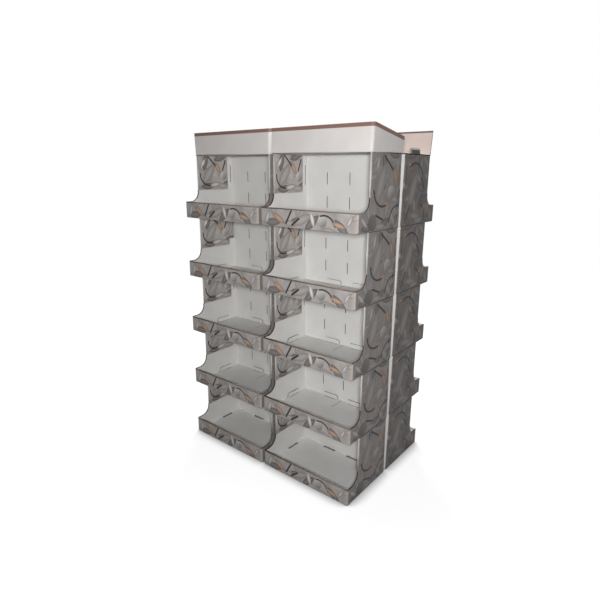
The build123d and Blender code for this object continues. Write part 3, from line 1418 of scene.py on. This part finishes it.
@dataclass
class Stand:
    """The whole stand: two columns side by side in front and two behind, back to back.

    Attributes:
        tray: The tray that every column repeats.
        rows: How many trays a column has.
        loose: The tray whose left flap has come out of its slit.
    """

    tray: Tray
    rows: int = 5
    loose: str = "front_left_tray_4"

    def finishes(self) -> list[bpy.types.Material]:
        """Makes the board's materials.

        Returns:
            The materials in the order of Face.
        """
        tray = self.tray
        # Paler lip corners and wall fronts: partly worn print, partly painted highlight
        lip_corner = Crease(at=tray.width, half_width=tray.crease, fade=18, strength=0.5)
        wall_front = Crease(at=0, half_width=2.5, fade=4, strength=0.65)
        # A grey line near the back of a stacked tray's floor: painted shade of a groove
        groove_shade = Motif(Shape.BAR, Ink.CREASE, x=-10, y=320, size=52, width=6, turn=90)
        made = {
            Face.LINER: WhiteLiner("clay_coated_white_liner"),
            Face.LIP: PrintedLiner(
                "offset_printed_liner_lip", motifs=LIP_PRINT, tone=1.3, creases=(lip_corner,),
                wear_and_highlight="#c0b2a7", print_top=tray.lip_height + tray.turnover,
            ),
            Face.RIGHT_WALL: PrintedLiner(
                "offset_printed_liner_right_wall", motifs=RIGHT_WALL_PRINT, dark="#716c6a", light="#96918f",
            ),
            Face.LEFT_WALL: PrintedLiner(
                "offset_printed_liner_left_wall", motifs=LEFT_WALL_PRINT, tone=0.85, dark="#5f5a58",
                light="#837e7b",
            ),
            Face.FLAP: PrintedLiner(
                "offset_printed_liner_flap", motifs=FLAP_PRINT, tone=1.4, creases=(wall_front,),
            ),
            Face.TAB: PatchedLiner("clay_coated_liner_dark_patch"),
            Face.HEADER: BorderedLiner("clay_coated_liner_brown_border"),
            # The header's inside is pinkish and darker than the white liner: painted warm reflection and
            # painted shade
            Face.HEADER_INSIDE: BorderedLiner(
                "header_inside_liner_painted_warm_shade", roughness=0.65, white="#cfc2bc", cloud="#c6b8b1",
                border="#6a5d57", border_width=8,
            ),
            Face.CUT: CutEdge("die_cut_kraft_edge"),
            # The tabs' cut edges are darkened grey: painted shade standing for the shadow gap round each tab
            Face.WHITE_CUT: CutEdge("die_cut_tab_edge_painted_shade", paper="#7c746d", hollow_shade="#574f48"),
            # The slots' cut edges are painted near black: painted shade inside each slot
            Face.SLOT: CutEdge("die_cut_kraft_edge_painted_shade", paper="#1f1814", hollow_shade="#0f0c0a"),
            Face.WALL_INSIDE: MouthBandLiner(
                "clay_coated_liner_brown_band_at_mouth", mouth=tray.mouth_middle, mouth_radius=tray.mouth_radius,
            ),
            Face.FLOOR: MarkedLiner("clay_coated_liner_floor_groove_shade", marks=(groove_shade, *tray.slot_shade_marks())),
            Face.LOWEST_FLOOR: MarkedLiner("clay_coated_liner_floor", marks=tray.slot_shade_marks()),
        }
        return [made[kind].material() for kind in Face]

    def place(self, node: str, rear: bool) -> Matrix:
        """Works out where a piece stands from the solid that it stands for.

        Args:
            node: The solid's name.
            rear: Whether it is in a rear column.

        Returns:
            The piece's matrix.
        """
        low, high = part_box(node)
        middle = (low.x + high.x) / 2
        depth = self.tray.depth * MM
        if rear:
            return Matrix.Translation((middle, low.y + depth, low.z)) @ Matrix.Rotation(math.pi, 4, "Z")
        return Matrix.Translation((middle, high.y - depth, low.z))

    def build(self) -> None:
        """Makes every tray and header where its solid is, and dresses it."""
        finishes = self.finishes()
        header = Header(self.tray).mesh("header_blank")
        plain = self.tray.mesh("tray_blank")
        loose = self.tray.mesh("tray_blank_with_tongue", tongue=True)
        lowest = self.tray.mesh("tray_blank_lowest", stacked=False)
        for mesh in (header, plain, loose, lowest):
            for finish in finishes:
                mesh.materials.append(finish)
        for row in ("front", "rear"):
            for side in ("left", "right"):
                for number in range(1, self.rows + 1):
                    node = f"{row}_{side}_tray_{number}"
                    stacked = loose if node == self.loose else plain
                    self.add(node, stacked if number > 1 else lowest, "tray_board", row == "rear")
                self.add(f"{row}_{side}_header", header, "header_board", row == "rear")

    def add(self, node: str, mesh: bpy.types.Mesh, slot: str, rear: bool) -> None:
        """Puts one piece in place of its solid.

        Args:
            node: The solid's name.
            mesh: The piece's mesh.
            slot: The record's material slot; not used.
            rear: Whether it is in a rear column.
        """
        piece = bpy.data.objects.new(f"{node}_board", mesh)
        bpy.context.scene.collection.objects.link(piece)
        piece.matrix_world = self.place(node, rear)
        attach(piece, "root")
        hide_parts(node)
        LOG.info("%s: %d faces", piece.name, len(mesh.polygons))


@dataclass(frozen=True)
class Softbox:
    """A round soft light.

    Attributes:
        name: Its name.
        size: How wide it is, in metres.
        power: Its power in watts.
    """

    name: str
    size: float
    power: float

    def build(self, at: Vector, aim: Vector) -> None:
        """Makes the light, which the camera doesn't see.

        Args:
            at: Where it is.
            aim: Where it shines.
        """
        light = bpy.data.lights.new(self.name, "AREA")
        light.shape = "DISK"
        light.size = self.size
        light.energy = self.power
        lamp = bpy.data.objects.new(self.name, light)
        lamp.visible_camera = False
        bpy.context.scene.collection.objects.link(lamp)
        lamp.location = at
        lamp.rotation_euler = (aim - at).to_track_quat("-Z", "Y").to_euler()


@dataclass
class Studio:
    """The camera, a plain pale floor in white surroundings, and soft light from the camera, behind and above.

    Attributes:
        eye: Where the camera is, in metres.
        yaw: How far it looks to the right of the stand's front, in degrees.
        pitch: How far it looks down, in degrees.
        roll: How far it is tilted, in degrees.
        focal_pixels: Its focal length in pixels of the picture.
        picture_side: The picture's width and height in pixels.
        sensor_width: The width of its sensor, in millimetres.
        key: The light at the camera.
        key_setback: How far behind the camera it is, in metres.
        key_aim: The height that it points at, in metres.
        rear: The light on the other side of the stand.
        rear_lift: How far above the camera's height it is, in metres.
        top: The light above the stand.
        top_lift: How far above the stand it is, in metres.
        ambient: The strength of the light from all round.
        floor_colour: The floor's own colour.
        floor_reach: How far the floor goes each way, in metres.
        floor_glow: How brightly the floor shows round the stand, where 1 is white.
        glow_span: Where that level ends and white begins, in metres from below the stand's middle.
        shade_reach: How far from a piece its shade on the floor reaches, in metres.
        shade_span: How open the floor is where that shade is full and where it ends.
    """

    eye: Vector = Vector((1.6956, -2.1686, 1.6703))
    yaw: float = -38.768
    pitch: float = 15.284
    roll: float = 0.373
    focal_pixels: float = 473.36
    picture_side: float = 600.0
    sensor_width: float = 36.0
    key: Softbox = Softbox("key_softbox", 0.3, 67.0)
    key_setback: float = 0.2
    key_aim: float = 1.4
    rear: Softbox = Softbox("rear_softbox", 1.2, 85.0)
    rear_lift: float = 0.5
    top: Softbox = Softbox("top_softbox", 1.0, 30.0)
    top_lift: float = 1.7
    ambient: float = 0.05
    floor_colour: str = "#8c8c8c"
    floor_reach: float = 30.0
    floor_glow: float = 0.85
    glow_span: Point = (1.0, 4.0)
    shade_reach: float = 0.12
    shade_span: Point = (0.35, 0.8)

    def shown(self, tree: Tree) -> Socket:
        """Tells the rays that show the background from the rays that only carry light.

        Args:
            tree: The node tree it goes into.

        Returns:
            A socket that is 1 for the camera's rays and what it sees in gloss and glass.
        """
        path = add_node(tree, "LightPath")
        names = ("Is Camera Ray", "Is Glossy Ray", "Is Transmission Ray")
        camera, glossy, through = (path[name] for name in names)
        either = add_node(tree, "Math", {0: camera, 1: glossy}, operation="MAXIMUM")[0]
        return add_node(tree, "Math", {0: either, 1: through}, operation="MAXIMUM")[0]

    def build_world(self) -> None:
        """Makes the white surroundings, which shine on the stand at a lower level than they show."""
        world = bpy.data.worlds.new("white_surroundings")
        bpy.context.scene.world = world
        world.use_nodes = True
        tree = world.node_tree
        strength = add_node(tree, "MapRange", {"Value": self.shown(tree), "To Min": self.ambient})[0]
        background = tree.nodes["Background"]
        background.inputs["Color"].default_value = (1, 1, 1, 1)
        tree.links.new(strength, background.inputs["Strength"])

    def floor_material(self) -> bpy.types.Material:
        """Makes the floor's material: matt and pale, with a shade of its own close to the stand.

        Returns:
            The material.
        """
        pale = bpy.data.materials.new("matt_pale_floor")
        pale.use_nodes = True
        tree = pale.node_tree
        shader = tree.nodes["Principled BSDF"]
        shader.inputs["Base Color"].default_value = linear(self.floor_colour)
        shader.inputs["Roughness"].default_value = 1.0
        shader.inputs["Specular IOR Level"].default_value = 0.0
        open_sky = add_node(tree, "AmbientOcclusion", {"Distance": self.shade_reach})["AO"]
        full, none = self.shade_span
        clear = add_node(tree, "MapRange", {"Value": open_sky, "From Min": full, "From Max": none})[0]
        seen = add_node(tree, "Math", {0: self.shown(tree), 1: clear}, operation="MULTIPLY")[0]
        place = add_node(tree, "TexCoord")["Object"]
        out = add_node(tree, "VectorMath", {0: place}, operation="LENGTH")["Value"]
        near, far = self.glow_span
        level = add_node(tree, "MapRange", {
            "Value": out, "From Min": near, "From Max": far, "To Min": self.floor_glow,
        })[0]
        glow = add_node(tree, "Math", {0: seen, 1: level}, operation="MULTIPLY")[0]
        shader.inputs["Emission Color"].default_value = (1, 1, 1, 1)
        tree.links.new(glow, shader.inputs["Emission Strength"])
        return pale

    def build_floor(self) -> None:
        """Makes the pale floor, which keeps the stand's shadow."""
        mesh = bpy.data.meshes.new("studio_floor")
        reach = self.floor_reach
        corners = [(x, y, 0) for x, y in rectangle((-reach, -reach), (reach, reach))]
        mesh.from_pydata(corners, [], [(0, 1, 2, 3)])
        mesh.materials.append(self.floor_material())
        floor = bpy.data.objects.new("studio_floor", mesh)
        bpy.context.scene.collection.objects.link(floor)
        floor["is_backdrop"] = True

    def build_camera(self) -> None:
        """Makes the camera, at the height of a standing person's eye and to the right of the stand."""
        data = bpy.data.cameras.new("camera")
        data.sensor_width = self.sensor_width
        data.lens = self.focal_pixels / self.picture_side * self.sensor_width
        camera = bpy.data.objects.new("camera", data)
        bpy.context.scene.collection.objects.link(camera)
        yaw, pitch, roll = (math.radians(angle) for angle in (self.yaw, self.pitch, self.roll))
        upright = Matrix.Rotation(-yaw, 4, "Z") @ Matrix.Rotation(math.pi / 2 - pitch, 4, "X")
        camera.matrix_world = Matrix.Translation(self.eye) @ upright @ Matrix.Rotation(roll, 4, "Z")
        bpy.context.scene.camera = camera

    def build(self, low: Vector, high: Vector) -> None:
        """Makes the whole studio round the stand.

        Args:
            low: The stand's lowest corner.
            high: Its highest corner.
        """
        middle = (low + high) / 2
        self.build_world()
        self.build_floor()
        self.build_camera()
        away = (self.eye - middle).normalized()
        self.key.build(self.eye + self.key_setback * away, Vector((middle.x, middle.y, self.key_aim)))
        self.rear.build(Vector((-self.eye.x, -self.eye.y, self.eye.z + self.rear_lift)), middle)
        self.top.build(Vector((middle.x, middle.y, high.z + self.top_lift)), middle)
        bpy.context.scene.view_settings.view_transform = "Standard"


def main() -> None:
    """Builds the stand and its studio."""
    logging.basicConfig(level=logging.INFO)
    solid_low, solid_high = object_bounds()
    Stand(Tray()).build()
    Studio().build(solid_low, solid_high)
    bpy.context.view_layer.update()


if __name__ == "__main__":
    main()
